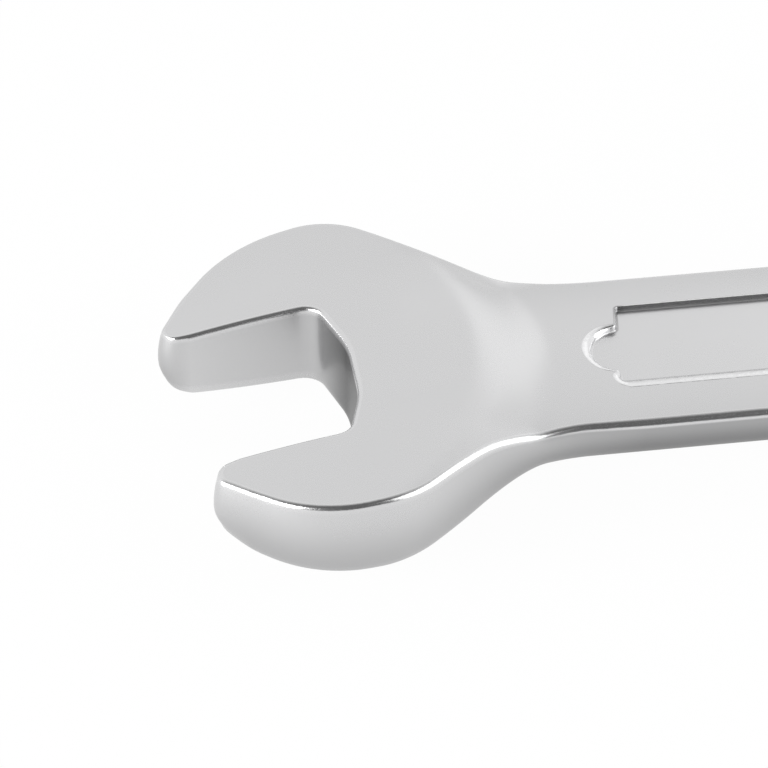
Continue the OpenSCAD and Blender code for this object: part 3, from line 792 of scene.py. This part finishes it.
class Tree:
    """A node tree with short calls for the nodes that the materials, the floor and the world use."""

    def __init__(self, owner):
        owner.use_nodes = True
        self.tree = owner.node_tree

    def node(self, kind, **settings):
        """A new node with these settings."""
        made = self.tree.nodes.new(kind)
        for name, value in settings.items():
            setattr(made, name, value)
        return made

    def link(self, source, target):
        """Links an output socket to an input socket."""
        self.tree.links.new(source, target)

    def feed(self, sockets, values):
        """Gives each input its value: a number is written on it, and a socket is linked to it."""
        for socket, value in zip(sockets, values):
            if isinstance(value, (int, float)):
                socket.default_value = value
            else:
                self.link(value, socket)

    def math(self, operation, a, b):
        """The result of a sum on numbers or sockets."""
        made = self.node("ShaderNodeMath", operation=operation)
        self.feed(made.inputs, (a, b))
        return made.outputs[0]

    def ramp(self, value, start, end, low, high, **settings):
        """value from start to end, spread over low to high."""
        made = self.node("ShaderNodeMapRange", **settings)
        self.feed([made.inputs[name] for name in ("Value", "From Min", "From Max", "To Min", "To Max")],
                  (value, start, end, low, high))
        return made.outputs["Result"]

    def mix_shaders(self, share, a, b):
        """Shader a where share is 0, b where it is 1."""
        made = self.node("ShaderNodeMixShader")
        self.feed(made.inputs, (share, a, b))
        return made.outputs[0]

    def shown_share(self, seen, mirrored):
        """A number: `seen` where camera rays meet the surface, `mirrored` where glossy and transmitted rays
        do, and 0 elsewhere."""
        path = self.node("ShaderNodeLightPath").outputs
        rays = (("Is Camera Ray", seen), ("Is Glossy Ray", mirrored), ("Is Transmission Ray", mirrored))
        camera, glossy, passed = [self.math("MULTIPLY", path[ray], share) for ray, share in rays]
        return self.math("MAXIMUM", camera, self.math("MAXIMUM", glossy, passed))


class Finish(Tree):
    """A material with short calls for what its shader takes."""

    def __init__(self, name, metallic=0):
        self.material = bpy.data.materials.new(name)
        super().__init__(self.material)
        self.shader = self.tree.nodes["Principled BSDF"]
        self.shader.inputs["Metallic"].default_value = metallic

    def coordinates(self):
        """Object coordinates in millimetres."""
        where = self.node("ShaderNodeTexCoord")
        mapping = self.node("ShaderNodeMapping")
        mapping.inputs["Scale"].default_value = [1 / MM] * 3
        self.link(where.outputs["Object"], mapping.inputs["Vector"])
        return mapping.outputs["Vector"]

    def noise(self, scale, detail):
        """Noise with `scale` cells to the millimetre."""
        made = self.node("ShaderNodeTexNoise")
        made.inputs["Scale"].default_value = scale
        made.inputs["Detail"].default_value = detail
        self.link(self.coordinates(), made.inputs["Vector"])
        return made.outputs["Fac"]

    def spread(self, value, low, high):
        """Noise, which lies mostly between 0.3 and 0.7, spread over low to high."""
        return self.ramp(value, 0.3, 0.7, low, high)

    def mix(self, factor, a, b):
        """a where factor is 0, b where it is 1, for numbers."""
        made = self.node("ShaderNodeMix")
        self.feed((made.inputs[0], made.inputs[2], made.inputs[3]), (factor, a, b))
        return made.outputs[0]

    def tint(self, colour, factor):
        """The colour times a number that varies over the surface."""
        made = self.node("ShaderNodeVectorMath", operation="SCALE")
        made.inputs[0].default_value = colour
        self.link(factor, made.inputs["Scale"])
        self.link(made.outputs["Vector"], self.shader.inputs["Base Color"])

    def bump(self, height, distance):
        """Bump whose full height is distance, in millimetres."""
        made = self.node("ShaderNodeBump")
        made.inputs["Distance"].default_value = distance * MM
        self.link(height, made.inputs["Height"])
        self.link(made.outputs["Normal"], self.shader.inputs["Normal"])

    def rough(self, value):
        """Roughness that varies over the surface."""
        self.link(value, self.shader.inputs["Roughness"])


def satin_chrome(finish, name="satin_chrome"):
    """Satin chrome: a soft cloud in the blasting under the plating and a fine grain. Rims are smoother and nicked
    from wear, and a painted highlight lifts their colour. The throat, the shank's edges, the neck, the panel's
    sunk walls at their upper shoulders and the walls towards the lower face are rougher, and painted shade darkens
    their colour."""
    n = Finish(name, metallic=1)
    cloud = n.noise(0.11, 3)
    grain = n.noise(7, 2)
    rim = n.node("ShaderNodeAttribute", attribute_name="rim").outputs["Fac"]
    dull_and_shade = n.node("ShaderNodeAttribute", attribute_name="dull_and_shade").outputs["Fac"]
    # painted highlight: the rims' colour is lifted by up to 22 %; painted shade: the colour is darkened where the
    # metal is marked duller
    shade = n.math("MULTIPLY", n.spread(cloud, 0.985, 1.015), n.mix(rim, 1.0, 1.22))
    n.tint(tuple(finish.chrome), n.math("MULTIPLY", shade, n.math("SUBTRACT", 1.0, dull_and_shade)))
    rough = n.math("MULTIPLY", n.spread(cloud, 0.94, 1.06), n.spread(grain, 0.96, 1.04))
    rough = n.math("MULTIPLY", rough, n.mix(dull_and_shade, finish.chrome_roughness, finish.chrome_roughness * 1.4))
    n.rough(n.mix(rim, rough, finish.rim_roughness))
    nicks = n.math("MULTIPLY", rim, n.noise(2.2, 2))
    n.bump(n.math("ADD", n.math("MULTIPLY", grain, 0.01), nicks), 0.03)
    return n.material


def turned_steel(finish):
    """Turned steel: fine rings round the socket's axis in brightness, roughness and bump."""
    n = Finish("turned_steel", metallic=1)
    where = n.node("ShaderNodeSeparateXYZ")
    n.link(n.coordinates(), where.inputs[0])
    radius = n.math("SQRT", n.math("ADD", n.math("POWER", where.outputs[0], 2),
                                   n.math("POWER", where.outputs[1], 2)), 0)
    rings = n.node("ShaderNodeTexNoise", noise_dimensions="1D")
    rings.inputs["Scale"].default_value = 9
    rings.inputs["Detail"].default_value = 3
    n.link(radius, rings.inputs["W"])
    n.tint(tuple(finish.steel), n.spread(rings.outputs["Fac"], 0.9, 1.08))
    n.rough(n.spread(rings.outputs["Fac"], 0.3, 0.38))
    n.bump(rings.outputs["Fac"], 0.004)
    return n.material


def plain_metal(name, colour, roughness, grain_scale):
    """Ground or coated metal: one colour with a fine grain in brightness and roughness."""
    n = Finish(name, metallic=1)
    grain = n.noise(grain_scale, 3)
    n.tint(tuple(colour), n.spread(grain, 0.85, 1.1))
    n.rough(n.spread(grain, roughness * 0.85, roughness * 1.15))
    n.bump(grain, 0.003)
    return n.material


def seal_rubber(finish):
    """Matt rubber with a fine moulded grain."""
    n = Finish("seal_rubber")
    grain = n.noise(12, 3)
    n.tint(tuple(finish.rubber), n.spread(grain, 0.8, 1.3))
    n.rough(n.spread(grain, 0.6, 0.75))
    n.bump(grain, 0.005)
    return n.material


# ---------------------------------------------------------------- the ring end's small parts


class WRENCH_OT_ratchet_ring(bpy.types.Operator):
    """Builds the ratchet ring: a grid of angles by a profile that runs up the twelve-point socket, over the
    chamfered upper face, down the collar, the teeth and the lower collar, and back along the lower face"""

    bl_idname = "wrench.ratchet_ring"
    bl_label = "Ratchet ring"

    def execute(self, context):
        s = in_millimetres(context.scene.wrench_ring_end)
        a = full_turn(POINTS_PER_TOOTH * TEETH)
        point = 2 * math.pi / SOCKET_POINTS
        from_corner = (a + point / 2) % point - point / 2
        socket = s.socket / 2 / np.cos(point - np.abs(from_corner))
        corner = s.socket / 2 / math.cos(point)
        step = (a * TEETH / math.pi) % 2
        tooth = GEAR_R - s.tooth_depth * (1 - np.abs(1 - step))
        root, collar = GEAR_R - s.tooth_depth, GEAR_R - s.collar_step
        ease_off, face = 0.12, corner + 0.08
        chamfer = RING_TOP - (face - socket)
        tooth_end = 0.3 * (tooth - root)

        def half(side, gear_z):
            """Profile from the socket's wall over one face to the teeth, as pairs of radius and height."""
            return [(socket, side * chamfer), (face, side * RING_TOP), (collar - ease_off, side * RING_TOP),
                    (collar - 0.3 * ease_off, side * (RING_TOP - 0.3 * ease_off)),
                    (collar, side * (RING_TOP - ease_off)), (collar, gear_z), (root, gear_z),
                    (tooth, gear_z - side * tooth_end)]

        profile = half(1, s.gear_top) + half(-1, -s.gear_bottom)[::-1]
        r = np.stack([np.broadcast_to(p[0], a.shape) for p in profile], 1)
        z = np.stack([np.broadcast_to(p[1], a.shape) for p in profile], 1)
        skin = Skin()
        skin.grid(swept(r, z, a), wrap_columns=True)
        steel = turned_steel(context.scene.wrench_finish)
        piece(skin.mesh("wrench_ratchet_ring", 25), "ratchet", "ring_steel", steel, "ratchet_ring")
        return {"FINISHED"}


class WRENCH_OT_retainers(bpy.types.Operator):
    """Builds the snap ring, the lever's clip and its seal"""

    bl_idname = "wrench.retainers"
    bl_label = "Snap ring, clip and seal"

    def execute(self, context):
        s = in_millimetres(context.scene.wrench_ring_end)
        finish = context.scene.wrench_finish
        dark = plain_metal("dark_spring_steel", finish.spring_steel, 0.42, 7)
        piece(self.snap_ring(s), "handle", "spring_steel", dark, "snap_ring")
        piece(self.clip(s), "lever", "spring_steel", dark, "lever_clip")
        piece(self.seal(s), "handle", "seal_rubber", seal_rubber(finish), "lever_seal")
        return {"FINISHED"}

    def snap_ring(self, s):
        """A rounded square section, a superellipse, carried round an arc that is open towards the wrench's
        end, a little smaller at its two ends."""
        low, high = SNAP_BOX[0][2], SNAP_BOX[1][2]
        outer, inner = SNAP_BOX[1][1], GEAR_R - s.collar_step + 0.15
        half_opening, squareness = math.radians(17), 0.35
        a = np.linspace(half_opening, 2 * math.pi - half_opening, 145)
        t = full_turn(24)
        across, upright = [np.sign(v) * np.abs(v) ** squareness for v in (np.cos(t), np.sin(t))]
        size = np.ones(len(a))
        size[[0, -1]] = 0.8
        r = (outer + inner) / 2 + (outer - inner) / 2 * across * size[:, None]
        z = (low + high) / 2 + (high - low) / 2 * upright * size[:, None]
        skin = Skin()
        skin.bar(swept(r, z, a))
        return skin.mesh("wrench_snap_ring")

    def clip(self, s):
        """A flat plate between two arcs, open on one side where it is pushed onto the shaft. The mouth's
        corners lie on tangents at the arcs' ends."""
        outer, inner = width(CLIP_BOX) / 2, s.shaft_r - s.clip_groove + 0.03
        half, turned_in = inner - 0.15, 0.12
        outer_end, inner_end = [math.asin(half / r) + turned_in for r in (outer, inner)]
        outer_x, inner_x = [(r - half * math.sin(end)) / math.cos(end)
                            for r, end in ((outer, outer_end), (inner, inner_end))]
        path = rounded([*tangent_corners((0, 0), outer, outer_end, 2 * math.pi - outer_end, 6),
                        (outer_x, -half, 0.15), (inner_x, -half, 0.1),
                        *tangent_corners((0, 0), inner, 2 * math.pi - inner_end, inner_end, 6),
                        (inner_x, half, 0.1), (outer_x, half, 0.15)], 0.3)
        skin = Skin()
        skin.slab(path, CLIP_BOX[0][2], CLIP_BOX[1][2], low_rim=0.06, high_rim=0.06)
        skin.turn(-s.lever_tilt, PIVOT)
        return skin.mesh("wrench_lever_clip")

    def seal(self, s):
        """A round section turned about the lever's axis."""
        low, high = SEAL_BOX[0][2], SEAL_BOX[1][2]
        thick = (high - low) / 2
        middle = width(SEAL_BOX) / 2 - thick
        t = full_turn(20)
        r, z = middle + thick * np.cos(t), (low + high) / 2 + thick * np.sin(t)
        skin = Skin()
        skin.grid(swept(r, z, full_turn(96), PIVOT), wrap_columns=True)
        return skin.mesh("wrench_lever_seal")


class WRENCH_OT_lever(bpy.types.Operator):
    """Builds the reversing lever: a plate with a round hub, a narrower thumb end and ribs, on its shaft"""

    bl_idname = "wrench.lever"
    bl_label = "Reversing lever"

    def execute(self, context):
        s = in_millimetres(context.scene.wrench_ring_end)
        low, high = HOUSING_Z + 0.1, LEVER_BOX[1][2] - s.rib_h
        skin = Skin()
        shaft, groove_w, groove_t, whole = s.shaft_r, 0.22, 0.16, full_turn(ROUND_POINTS)
        skin.slab(self.outline(s), low, high, low_rim=0.15, high_rim=0.4,
                  holes=[around(shaft + groove_w, whole)], rim=0.3)
        skin.turned([(shaft + groove_w, high), (shaft + 0.7 * groove_w, high - groove_t),
                     (shaft + 0.3 * groove_w, high - groove_t), (shaft, high), (shaft * 0.55, high + 0.07),
                     (0, high + 0.09)], whole)
        play = 0.03
        clip_low, clip_high = CLIP_BOX[0][2] - play, CLIP_BOX[1][2] + play
        inner, foot, chamfer = shaft - s.clip_groove, LEVER_BOX[0][2], 0.15
        skin.turned([(0, low + 0.2), (shaft, low + 0.2), (shaft, clip_high), (inner, clip_high),
                     (inner, clip_low), (shaft, clip_low), (shaft, foot + chamfer), (shaft - chamfer, foot),
                     (0, foot)], whole)
        for i in range(RIBS):
            x, half_w = -s.lever_reach + s.rib_pitch * (i + 1), s.lever_end_w * 0.37
            corners = [(x, -half_w), (x + s.rib_w, -half_w), (x + s.rib_w, half_w), (x, half_w)]
            path = rounded([(*c, s.rib_w * 0.45) for c in corners], 0.3, math.radians(20))
            # the ribs' rims: smoother metal from wear and a stronger painted highlight on their colour
            skin.slab(path, high - 0.1, high + s.rib_h, low_rim=0.01, high_rim=0.2, rim=0.8)
        skin.turn(-s.lever_tilt, PIVOT)
        chrome = satin_chrome(context.scene.wrench_finish, "lever_chrome")
        piece(skin.mesh("wrench_reversing_lever"), "lever", "lever_metal", chrome, "reversing_lever")
        return {"FINISHED"}

    def outline(self, s):
        """The hub's arc and two straight sides that touch it and run to the thumb end's round corners."""
        far, half_w = math.hypot(s.lever_reach, s.lever_end_w / 2), s.lever_end_w / 2
        leaves = math.pi - math.atan2(half_w, s.lever_reach) - math.acos(s.hub_r / far)
        return rounded([*tangent_corners((0, 0), s.hub_r, -leaves, leaves, 3), (-s.lever_reach, half_w, 1.6),
                        (-s.lever_reach, -half_w, 1.6)], 0.35)


class WRENCH_OT_inner_parts(bpy.types.Operator):
    """Finishes the pawl, the detent ball and its spring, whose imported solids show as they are"""

    bl_idname = "wrench.inner_parts"
    bl_label = "Pawl, ball and spring"

    def execute(self, context):
        finish = context.scene.wrench_finish
        ground = plain_metal("ground_steel", finish.steel, 0.25, 9)
        coiled = plain_metal("spring_wire", finish.steel, 0.3, 12)
        for node, material in (("pawl", ground), ("detent_ball", ground), ("detent_spring", coiled)):
            frame["nodes"][node].material_slots[0].material = material
        return {"FINISHED"}


# ---------------------------------------------------------------- stage and camera


SENSOR = 36  # width of the camera's sensor in millimetres
NEAREST_STEPS = 20  # rounds of the search for the place nearest to a ray
IN_FRONT = 0.3  # millimetres by which something has to stand before a place to hide it


def camera_axes(stage):
    """The camera's right, up and back directions."""
    a, e = stage.azimuth, stage.elevation
    back = Vector((math.sin(a) * math.cos(e), -math.cos(a) * math.cos(e), math.sin(e)))
    right = Vector((math.cos(a), math.sin(a), 0))
    return right, back.cross(right), back


def camera_place(stage):
    """Where the camera stands, in metres."""
    return Vector(stage.aim) + camera_axes(stage)[2] * stage.distance


def seen_at(stage, points):
    """Where points in metres show, in pixels of the photograph's frame."""
    right, up, back = (np.array(v) for v in camera_axes(stage))
    away = np.atleast_2d(points) - np.array(camera_place(stage))
    scale = stage.lens / SENSOR * IMAGE_SIDE / -(away @ back)
    return np.stack([IMAGE_SIDE / 2 + away @ right * scale, IMAGE_SIDE / 2 - away @ up * scale], 1)


def place_on(tree, stage, point):
    """Where an image point lies on a finished surface, in metres: where its ray meets the tree, and for a ray
    that misses, the place nearest to it. The camera isn't shifted."""
    right, up, back = camera_axes(stage)
    x, y = point
    away = right * (x - IMAGE_SIDE / 2) + up * (IMAGE_SIDE / 2 - y) - back * IMAGE_SIDE * stage.lens / SENSOR
    start, away = camera_place(stage), away.normalized()
    met = tree.ray_cast(start, away)[0]
    if met is None:
        along = start + away * (tree.find_nearest(start)[0] - start).dot(away)
        for _ in range(NEAREST_STEPS):
            met = tree.find_nearest(along)[0]
            along = start + away * (met - start).dot(away)
    return met


def shows(tree, stage, place):
    """True if nothing of the tree stands clearly in front of a place in metres."""
    start = camera_place(stage)
    away = Vector(place) - start
    met = tree.ray_cast(start, away.normalized())[3]
    return met is None or met > away.length - IN_FRONT * MM


def feature_places(s, stage):
    """Places in metres of the forging's features that have an image point, at the upper face's height: the
    middles of rounded rims at corners, and of the tongue's wall. The three rim points keep their x and lie on
    the middle of the rim nearest the camera."""
    height = face_heights(s)[0]
    names, outline = zip(*body_corners(s).items())
    panel = panel_corners(s)
    flat = {}
    for i, name in enumerate(names):
        if name in IMAGE_POINTS:
            bulge, rim = outline[i][3], outline[i][5]
            flat[name] = arc_middle(outline, i, (bulge + rim) / 2)
    for name, i in (("panel_upper_corner", UPPER_SHOULDER), ("panel_lower_corner", LOWER_SHOULDER)):
        flat[name] = arc_middle(panel, i, -panel[i][3])
    wall_out = 0.25  # how far the middle of the tongue's wall lies outside its outline
    flat["tongue_tip"] = (JAWS_AT[0] + s.panel_start - s.tongue_reach - wall_out, -s.tongue_offset)
    places = {name: np.array([*at, float(height(*at))]) * MM for name, at in flat.items()}

    path = rounded(outline, step=0.4)
    face = path[:, :2] - outward(path[:, :2]) * (path[:, 2:3] + path[:, 4:5]) / 2
    rim = np.column_stack([face, height(*face.T)]) * MM
    ahead = np.roll(rim, -1, 0)
    x, next_x = seen_at(stage, rim)[:, 0], seen_at(stage, ahead)[:, 0]
    for name in ("lower_rim", "neck_rim", "shank_rim"):
        wanted = IMAGE_POINTS[name][0]
        crossing = np.flatnonzero((x - wanted) * (next_x - wanted) <= 0)
        share = ((wanted - x) / (next_x - x))[crossing, None]
        found = rim[crossing] + share * (ahead - rim)[crossing]
        places[name] = found[seen_at(stage, found)[:, 1].argmax()]
    return places


def write_points(context):
    """Works out how far each thing shows from its image point, in pixels of the photograph's frame, and how far
    apart the two are on the forging, but writes none of it out. Edges are the farthest vertices that show."""
    s, stage = in_millimetres(context.scene.wrench_forging), context.scene.wrench_stage
    forging = bpy.data.objects["wrench_forging"]
    tree = BVHTree.FromObject(forging, context.evaluated_depsgraph_get())
    places = np.empty(3 * len(forging.data.vertices))
    forging.data.vertices.foreach_get("co", places)
    places = places.reshape(-1, 3)
    seen = seen_at(stage, places)
    inside = ((seen > 0) & (seen < IMAGE_SIDE)).all(1)
    places, seen = places[inside], seen[inside]
    for name, axis, side in (("left", 0, 1), ("top", 1, 1), ("bottom", 1, -1)):
        order = np.argsort(side * seen[:, axis])
        first = next(i for i in order if shows(tree, stage, places[i]))
    for name, place in feature_places(s, stage).items():
        off = seen_at(stage, place)[0] - IMAGE_POINTS[name]
        apart = (Vector(place) - place_on(tree, stage, IMAGE_POINTS[name])).length / MM


def soft_box(name, place, target, size, power):
    """A square or oblong area light that faces target and that the camera doesn't see."""
    light = bpy.data.lights.new(name, "AREA")
    light.shape = "RECTANGLE"
    light.size, light.size_y = size
    light.energy = power
    made = bpy.data.objects.new(name, light)
    made.location = place
    made.rotation_euler = (Vector(place) - Vector(target)).to_track_quat("Z", "Y").to_euler()
    bpy.context.scene.collection.objects.link(made)
    made.visible_camera = False


FLOOR_HALF, FLOOR_GAP = 4.0, 0.00002  # metres
FLOOR_SEEN, FLOOR_MIRRORED = 0.96, 0.85  # share of plain white in the floor, as seen and as mirrored
# area lights that face the open end: place and size in metres, power in watts
LIGHTS = {
    "left_box": ((-1.01, -0.4, 0.27), (0.9, 0.7), 17),
    "right_box": ((0.69, -0.4, 0.36), (0.9, 0.9), 5.5),
    "neck_box": ((0.36, 0.8, 0.45), (0.5, 0.5), 0.2),
}


class WRENCH_OT_stage(bpy.types.Operator):
    """Sets the pale floor, the soft light and the camera"""

    bl_idname = "wrench.stage"
    bl_label = "Stage and camera"

    def execute(self, context):
        scene, stage = context.scene, context.scene.wrench_stage
        scene.view_settings.view_transform = "Standard"
        self.floor(stage)
        self.world(scene, stage)
        self.lights()
        camera = bpy.data.objects.new("camera", bpy.data.cameras.new("camera"))
        scene.collection.objects.link(camera)
        camera.data.lens, camera.data.sensor_width, camera.data.sensor_fit = stage.lens, SENSOR, "AUTO"
        camera.data.clip_start, camera.data.clip_end = 0.01, 20
        camera.location = camera_place(stage)
        camera.rotation_euler = camera_axes(stage)[2].to_track_quat("Z", "Y").to_euler()
        scene.camera = camera
        return {"FINISHED"}

    def floor(self, stage):
        half, z = FLOOR_HALF, CAD_BOX[0].z - FLOOR_GAP
        mesh = bpy.data.meshes.new("floor")
        mesh.from_pydata([(-half, -half, z), (half, -half, z), (half, half, z), (-half, half, z)], [],
                         [(0, 1, 2, 3)])
        floor = bpy.data.objects.new("floor", mesh)
        bpy.context.scene.collection.objects.link(floor)
        pale = Finish("pale_floor")
        pale.shader.inputs["Base Color"].default_value = (0.9, 0.9, 0.9, 1)
        pale.shader.inputs["Roughness"].default_value = 0.9
        pale.shader.inputs["Specular IOR Level"].default_value = 0
        glow = pale.node("ShaderNodeEmission")
        glow.inputs["Strength"].default_value = stage.background
        shown = pale.shown_share(FLOOR_SEEN, FLOOR_MIRRORED)
        pale.link(pale.mix_shaders(shown, pale.shader.outputs[0], glow.outputs[0]),
                  pale.tree.nodes["Material Output"].inputs["Surface"])
        mesh.materials.append(pale.material)

    def world(self, scene, stage):
        """White where the camera sees it. Its light comes from the same white backdrop, which gives way to
        the dark room behind the camera over a wide, soft edge."""
        scene.world = bpy.data.worlds.new("world")
        sky = Tree(scene.world)
        level = math.cos(stage.room_height)
        to_room = sky.node("ShaderNodeVectorMath", operation="DOT_PRODUCT")
        to_room.inputs[1].default_value = (math.sin(stage.azimuth) * level, -math.cos(stage.azimuth) * level,
                                           math.sin(stage.room_height))
        sky.link(sky.node("ShaderNodeTexCoord").outputs["Generated"], to_room.inputs[0])
        near_room = to_room.outputs["Value"]
        room = sky.ramp(near_room, math.cos(stage.room_ends), math.cos(stage.room_starts), stage.backdrop,
                        stage.room, interpolation_type="SMOOTHSTEP")
        horizon = sky.ramp(near_room, math.cos(stage.horizon_ends), math.cos(stage.horizon_starts),
                           stage.horizon, 1, interpolation_type="SMOOTHSTEP")
        around_it, white = sky.tree.nodes["Background"], sky.node("ShaderNodeBackground")
        sky.link(sky.math("MULTIPLY", room, horizon), around_it.inputs["Strength"])
        white.inputs["Strength"].default_value = stage.background
        for shade in (around_it, white):
            shade.inputs["Color"].default_value = (1, 1, 1, 1)
        sky.link(sky.mix_shaders(sky.shown_share(1, 0), around_it.outputs[0], white.outputs[0]),
                 sky.tree.nodes["World Output"].inputs["Surface"])

    def lights(self):
        target = (JAWS_AT[0] * MM, 0, 0)
        for name, (place, size, power) in LIGHTS.items():
            soft_box(name, place, target, size, power)


# ---------------------------------------------------------------- panel, registration and the run


class WRENCH_PT_sidebar(bpy.types.Panel):
    """Lists the sizes, the finishes and the steps"""

    bl_idname = "WRENCH_PT_sidebar"
    bl_label = "Combination wrench"
    bl_space_type = "VIEW_3D"
    bl_region_type = "UI"
    bl_category = "Wrench"

    def draw(self, context):
        for step in STEPS:
            self.layout.operator(step.bl_idname)
        for name in GROUPS:
            group = getattr(context.scene, name)
            box = self.layout.box()
            for prop in group.__annotations__:
                box.prop(group, prop)


GROUPS = {"wrench_forging": WrenchForging, "wrench_ring_end": WrenchRingEnd, "wrench_finish": WrenchFinish,
          "wrench_stage": WrenchStage}
STEPS = [WRENCH_OT_forging, WRENCH_OT_ratchet_ring, WRENCH_OT_retainers, WRENCH_OT_lever,
         WRENCH_OT_inner_parts, WRENCH_OT_stage]


def register():
    for made in [*GROUPS.values(), *STEPS, WRENCH_PT_sidebar]:
        bpy.utils.register_class(made)
    for name, group in GROUPS.items():
        setattr(bpy.types.Scene, name, PointerProperty(type=group))


def unregister():
    for name in GROUPS:
        delattr(bpy.types.Scene, name)
    for made in reversed([*GROUPS.values(), *STEPS, WRENCH_PT_sidebar]):
        bpy.utils.unregister_class(made)


def main():
    """Builds every piece and the stage in order."""
    register()
    for step in STEPS:
        group, name = step.bl_idname.split(".")
        getattr(getattr(bpy.ops, group), name)()
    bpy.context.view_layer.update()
    write_points(bpy.context)


if __name__ == "__main__":
    main()
